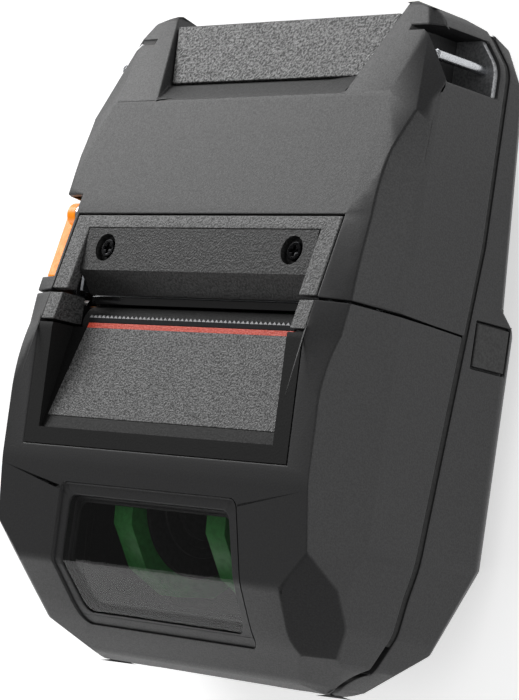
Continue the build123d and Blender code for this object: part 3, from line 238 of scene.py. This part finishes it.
# Casing gasket: a cord of black silicone rubber, moulded in one ring and pressed between the
# casings to keep dust out. It shows as a black line round the printer.
silicone = moulded(
    "moulded_silicone_black", "#040404", "#0A0A0A", grain=0.0008, relief=0.00002, rough=(0.6, 0.75)
)
dressed("casing_gasket", silicone)

# Belt clip inserts and platen bearings: turned brass, with the fine rings that the lathe tool leaves.
# The inserts are melted into the back, and the bearings snap into the cover's two ears.
mark_relief = 0.00001
even = (1.0, 1.0, 1.0)


def metal(name, dark, light, grain, stretch, rough):
    """Worked metal: grain is the spacing in metres of its tool marks, stretched along the marks."""
    material, tree = new_material(name)
    spot = add(tree, "TexCoord")
    turn = add(tree, "Mapping", {"Scale": stretch}, {"Vector": spot.outputs["Object"]})
    marks = add(tree, "TexNoise", {"Scale": 1 / grain, "Detail": 3.0}, {"Vector": turn.outputs["Vector"]})
    colour = ramp(tree, marks.outputs["Fac"], even_span, dark, light)
    finish_material(tree, colour, marks.outputs["Fac"], rough, mark_relief, Metallic=1.0)
    return material


turned_brass = metal(
    "turned_brass", "#A87F3B", "#D9B36A", grain=0.0003, stretch=(8.0, 1.0, 1.0), rough=(0.22, 0.36)
)
dressed("belt_clip_inserts", turned_brass, edge=0.0001)
dressed("platen_bearings", turned_brass, edge=0.0001)

# Chassis: zinc-plated steel sheet, blanked and folded into a box that carries the head, the lever
# shaft and the gears. The plating has a faint cloudy spangle and the blanked edges stay sharp.
# The shell of the charging port is plated the same way.
zinc_steel = metal("zinc_plated_steel", "#8D9094", "#B9BCC0", grain=0.004, stretch=even, rough=(0.26, 0.42))
dressed("chassis", zinc_steel, edge=0.0001)
dressed("usb_port", zinc_steel, edge=0.0001)

# Shafts, posts and the motor can: drawn and turned steel, ground bright, with marks round the axis
# that lies across the printer. The hinge pin and the strap bars are ground the same way.
ground_steel = metal(
    "ground_steel", "#9A9CA0", "#D5D7DA", grain=0.0003, stretch=(6.0, 1.0, 1.0), rough=(0.16, 0.3)
)
for node in ("gear_posts", "motor", "platen_shaft", "release_shaft", "hinge_pin", "strap_bars"):
    dressed(node, ground_steel, edge=0.00012)

# Boards: glass-fibre laminate under green solder mask, with copper tracks showing faintly raised
# through it. The chips and switches are parts of their boards and have the same finish.
track_spacing = 0.0025
track_relief = 0.00003
solder_mask, tree = new_material("solder_mask_on_laminate")
spot = add(tree, "TexCoord")
tracks = add(
    tree, "TexVoronoi", {"Scale": 1 / track_spacing}, {"Vector": spot.outputs["Object"]}, distance="MANHATTAN"
)
copper = ramp(tree, tracks.outputs["Distance"], (0.35, 0.5), "#0E5A33", "#0A3D24")
finish_material(
    tree, copper, tracks.outputs["Distance"], rough=(0.2, 0.35), relief=track_relief, Coat_Weight=0.5
)
for node in ("main_board", "control_board", "display_module"):
    dressed(node, solder_mask, edge=0.0001)

# Battery: a shell of black PC and ABS, welded shut, with a coarser grain for grip, and its latch.
# The latch slides in the shell, and its contacts meet four gold-plated blades in the bay.
pc_abs_black = moulded(
    "moulded_pc_abs_black", "#141415", "#222223", grain=0.0007, relief=0.00006, rough=(0.5, 0.66)
)
dressed("battery_pack", pc_abs_black, edge=0.0005)
dressed("battery_latch", pc_abs_black, edge=0.0004)
gold_plate = metal(
    "gold_plated_bronze", "#B8923F", "#E2C472", grain=0.0005, stretch=(1.0, 1.0, 5.0), rough=(0.18, 0.28)
)
dressed("battery_contacts", gold_plate, edge=0.0001)

# Gears: the train from the motor to the platen is moulded acetal, slightly waxy, on steel posts, and
# so are the pinion and track of the media guides and the media sensor. The small wheel on the motor
# shaft is hobbed brass and runs quietly against the plastic.
acetal_black = moulded(
    "moulded_acetal_black", "#101011", "#1A1A1B", grain=0.001, relief=0.00001, rough=(0.3, 0.42)
)
for node in ("platen_gear", "idler_gear", "reduction_gear", "guide_pinion", "guide_track", "media_sensor"):
    dressed(node, acetal_black, edge=0.0001)
dressed("motor_pinion", turned_brass, edge=0.0001)

# Print head: a ceramic strip under black glass glaze, glued to a sink of extruded aluminium that
# swings on its pivot. Two springs press it on the platen.
glaze = moulded(
    "black_glass_glaze", "#0A0A0B", "#101011", grain=0.002, relief=0.000005, rough=(0.12, 0.2), Coat_Weight=0.3
)
dressed("print_head", glaze, edge=0.0002)
drawn_aluminium = metal(
    "extruded_aluminium", "#A4A6A9", "#C4C6C8", grain=0.0006, stretch=(0.1, 1.0, 1.0), rough=(0.3, 0.42)
)
dressed("head_sink", drawn_aluminium, edge=0.00015)

# Coil springs: music wire wound on a mandrel, with closed ends. Two push the head on the platen and
# one returns the lever. Each turns round the line of the plain tube that holds its place in CAD.
spring_wire = 0.0003
wire_sides = 10
steps_per_turn = 20


def coil_spring(name, node, centre, axis, radius, length, turns):
    bpy.ops.object.select_all(action="DESELECT")
    bpy.ops.mesh.primitive_circle_add(
        vertices=wire_sides, radius=spring_wire, location=(radius, 0, 0), rotation=(math.pi / 2, 0, 0)
    )
    spring = bpy.context.object
    spring.name = name
    bpy.ops.object.transform_apply(location=True, rotation=True, scale=True)
    winding = spring.modifiers.new("winding", "SCREW")
    winding.axis = "Z"
    winding.angle = 2 * math.pi * turns
    winding.screw_offset = length - 2 * spring_wire
    winding.steps = winding.render_steps = steps_per_turn * turns
    winding.use_merge_vertices = True
    bpy.ops.object.modifier_apply(modifier="winding")
    bpy.ops.object.mode_set(mode="EDIT")
    bpy.ops.mesh.select_all(action="SELECT")
    bpy.ops.mesh.normals_make_consistent(inside=False)
    bpy.ops.mesh.select_all(action="DESELECT")
    bpy.ops.mesh.select_non_manifold()
    bpy.ops.mesh.edge_face_add()
    bpy.ops.object.mode_set(mode="OBJECT")
    spring.location = Vector(centre) - Vector(axis) * (length / 2 - spring_wire)
    spring.rotation_euler = Vector((0, 0, 1)).rotation_difference(Vector(axis)).to_euler()
    bpy.ops.object.transform_apply(location=True, rotation=True, scale=True)
    bpy.ops.object.shade_smooth()
    spring.data.materials.append(ground_steel)
    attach(spring, "casing")
    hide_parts(node)


low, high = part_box("head_springs")
tube_radius = (high.z - low.z) / 2
spring_radius = tube_radius - spring_wire
for side, x in (("left", low.x + tube_radius), ("right", high.x - tube_radius)):
    middle = (x, (low.y + high.y) / 2, (low.z + high.z) / 2)
    coil_spring(
        "head_spring_" + side, "head_springs", middle, (0, 1, 0), spring_radius, high.y - low.y, turns=6
    )
low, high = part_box("lever_spring")
spring_radius = (high.z - low.z) / 2 - spring_wire
middle = (low + high) / 2
coil_spring("lever_spring_wound", "lever_spring", middle, (1, 0, 0), spring_radius, high.x - low.x, turns=8)

# Front casing: the strap end's upper shell, moulded in the same charcoal ABS as the tray. Its broad
# face slopes away from the print slot between two wings, and its edges are softly rounded.
soft_corner = 0.0012
dressed("front_casing", abs_charcoal, edge=0.0005, soft=soft_corner, join=False)

# Top panel: the insert between the wings, moulded in ABS with a much coarser spark-eroded grain
# that glitters under the light. It folds over the strap end and carries the screen and the buttons.
abs_coarse = moulded(
    "moulded_abs_coarse_grain", "#1A1A1A", "#7C7C7C", grain=0.0006, relief=0.0003, rough=(0.32, 0.56)
)
dressed("top_panel", abs_coarse, edge=0.0004)

# Screen: a lens of tinted acrylic, polished and glued over a small display in the end panel.
# The three push buttons beside it are moulded silicone rubber with softly rounded tops.
tinted_acrylic = moulded(
    "tinted_acrylic", "#0B0D10", "#101317", grain=0.003, relief=0.000002, rough=(0.04, 0.08), Coat_Weight=1.0
)
dressed("display_window", tinted_acrylic, edge=0.0002)
button_silicone = moulded(
    "moulded_silicone_grey", "#202021", "#2C2C2D", grain=0.0006, relief=0.00003, rough=(0.55, 0.7)
)
for node in ("power_button", "feed_button", "menu_button"):
    dressed(node, button_silicone, edge=0.0005)

# Bezel and head cover: a dark frame and a sunk bar of glass-filled ABS over the print head, with
# the grain of a coarse sandpaper. Two screws in deep counterbores hold the bar to the chassis.
speckle = 0.0005
speckle_relief = 0.00016
abs_speckled = moulded(
    "moulded_abs_speckled", "#202020", "#585858", speckle, speckle_relief, rough=(0.4, 0.56)
)
dressed("head_bezel", abs_speckled, edge=0.0004)
bar_abs = moulded(
    "moulded_abs_speckled_dark", "#121212", "#323232", speckle, speckle_relief, rough=(0.44, 0.6)
)
dressed("head_cover", bar_abs)

# Screws: cross-recessed steel, black zinc plated, so they shine where the rest is matt.
# Two hold the bar, four close the casing from the back and four hold the outlet in the cover.
black_zinc = metal("black_zinc_steel", "#0C0C0D", "#1C1C1E", grain=0.0006, stretch=even, rough=(0.12, 0.22))
for node in ("bezel_screws", "casing_screws", "cover_screws"):
    dressed(node, black_zinc, edge=0.00025)

# Release lever: the orange slide on the left flank that lifts the catches, moulded in acetal. It is
# smooth and slightly waxy, so its edges stay bright, and a slight glow of its own colour makes up for
# the weak light on that side.
lever_glow = 0.5
acetal_orange = moulded(
    "moulded_acetal_orange",
    "#F48A04",
    "#FF9C10",
    grain=0.0015,
    relief=0.00001,
    rough=(0.32, 0.42),
    Emission_Color=linear("#FF8A00"),
    Emission_Strength=lever_glow,
)
dressed("release_lever", acetal_orange, edge=0.0003)

# Roll cover: the hinged lower shell in the same charcoal ABS, with the outlet at its top and the
# window over the roll. It carries the outlet frame, the platen and its bearings, and the two steel
# keepers that the catches hold.
dressed("roll_cover", abs_charcoal, edge=0.0005, soft=soft_corner, join=False)
dressed("cover_keepers", ground_steel, edge=0.0001)

# Cover window: smoked polycarbonate, moulded with a fold where the cover bends and polished, so
# it mirrors the white card at the hinge end while the roll bay shows darkly behind it.
smoke_density = 0.28
smoked_pc = moulded(
    "smoked_polycarbonate",
    "#050505",
    "#070707",
    grain=0.004,
    relief=0.000001,
    rough=(0.03, 0.05),
    Alpha=smoke_density,
    IOR=1.58,
)
smoked_pc.surface_render_method = "BLENDED"
dressed("cover_window", smoked_pc, smooth=4)

# Outlet: a frame of plain black ABS with a ledge and two ears for the platen. The blocks at its two
# upper corners have the same coarse sandpaper grain as the bezel.
abs_black = moulded(
    "moulded_abs_black",
    "#070707",
    "#0D0D0D",
    grain=0.0005,
    relief=0.00003,
    rough=(0.5, 0.62),
    Specular_IOR_Level=0.3,
)
dressed("outlet_frame", abs_black)
dressed("corner_blocks", abs_speckled, edge=0.0003)


# Tear bar: a strip of blackened steel whose teeth are ground bright, so that they show as a fine
# dotted line along the slot.
def strip(tree, spot, far_edge, start, full, plain, painted):
    """Two colours, with the painted one on a strip along the far edge of a piece. The strip starts
    and is at its full colour at these distances in metres from that edge."""
    across = add(tree, "SeparateXYZ", links={"Vector": spot.outputs["Object"]})
    limits = {"From Min": far_edge - start, "From Max": far_edge - full}
    share = add(tree, "MapRange", limits, {"Value": across.outputs["Y"]})
    colours = {"Fac": share.outputs["Result"], "Color1": plain, "Color2": painted}
    return add(tree, "MixRGB", links=colours).outputs["Color"]


blacking_grain = 0.0004
ground_teeth, tree = new_material("blackened_steel_with_ground_teeth")
spot = add(tree, "TexCoord")
marks = add(tree, "TexNoise", {"Scale": 1 / blacking_grain, "Detail": 2.0}, {"Vector": spot.outputs["Object"]})
blacking = ramp(tree, marks.outputs["Fac"], even_span, "#2A2A2C", "#3A3A3C")
bright = ramp(tree, marks.outputs["Fac"], even_span, "#C8C8CA", "#F0F0F2")
low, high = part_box("tear_bar")
teeth = strip(tree, spot, high.y, start=0.0007, full=0.0006, plain=blacking, painted=bright)
finish_material(tree, teeth, marks.outputs["Fac"], rough=(0.3, 0.42), relief=mark_relief, Metallic=0.8)
dressed("tear_bar", ground_teeth)

# Exit ramp: the grey speckled plate that the label slides down on, with an orange-red band printed
# along its top edge, below the teeth. The ink is thin, so the grain of the plate shows through it.
ramp_grain = 0.001 / 2.2
ramp_relief = 0.0002
abs_ramp, tree = new_material("moulded_abs_with_printed_band")
spot = add(tree, "TexCoord")
skin = add(tree, "TexNoise", {"Scale": 1 / ramp_grain, "Detail": 2.0}, {"Vector": spot.outputs["Object"]})
plain = ramp(tree, skin.outputs["Fac"], grain_span, "#2A2A2A", "#727272")
ink = ramp(tree, skin.outputs["Fac"], grain_span, "#D2402A", "#F0583C")
low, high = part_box("exit_ramp")
printed = strip(tree, spot, high.y, start=0.00136, full=0.00130, plain=plain, painted=ink)
finish_material(tree, printed, skin.outputs["Fac"], rough=(0.4, 0.6), relief=ramp_relief)
dressed("exit_ramp", abs_ramp, edge=0.0002)

# Platen: a sleeve of nitrile rubber, ground round after it is bonded to its shaft, so it is matt
# and slightly dusty. It turns in the outlet and pulls the label through.
nitrile = moulded(
    "ground_nitrile_rubber", "#1A1A1A", "#262626", grain=0.0004, relief=0.00003, rough=(0.7, 0.85)
)
dressed("platen_roller", nitrile, edge=0.0002)

# Roll bay: a black trough, two green media guides with their racks, and the black hubs that hold the
# roll's core. The trough and hubs are moulded ABS, and the guides acetal, faceted as in the photograph.
dressed("roll_bucket", abs_black, edge=0.0002)
acetal_green = moulded(
    "moulded_acetal_green", "#3FA648", "#4CBC56", grain=0.0015, relief=0.00001, rough=(0.3, 0.42)
)
for node in ("guide_left", "guide_right", "rack_left", "rack_right"):
    dressed(node, acetal_green, edge=0.0002)
hub_black = moulded(
    "moulded_abs_hub_black", "#1A1A1B", "#2A2A2B", grain=0.001, relief=0.00002, rough=(0.4, 0.55)
)
dressed("hub_left", hub_black, edge=0.0003)
dressed("hub_right", hub_black, edge=0.0003)

# Strap corners: each pocket has a plate of pale grey die-cast zinc on its floor, under the bar. The
# casting is tumbled, so it has a fine satin grain.
cast_zinc = moulded(
    "tumbled_cast_zinc", "#7F8082", "#A2A3A5", grain=0.0006, relief=0.00003, rough=(0.35, 0.5), Metallic=0.6
)
dressed("strap_plates", cast_zinc, edge=0.0002)

# Port flap: a plug of moulded thermoplastic rubber on a living hinge over the charging port.
# Its outer face is plain and lies in a shallow recess of the right flank.
flap_rubber = moulded(
    "moulded_tpe_black", "#1C1C1C", "#282828", grain=0.0006, relief=0.00003, rough=(0.5, 0.64)
)
dressed("port_cover", flap_rubber, edge=0.0002)
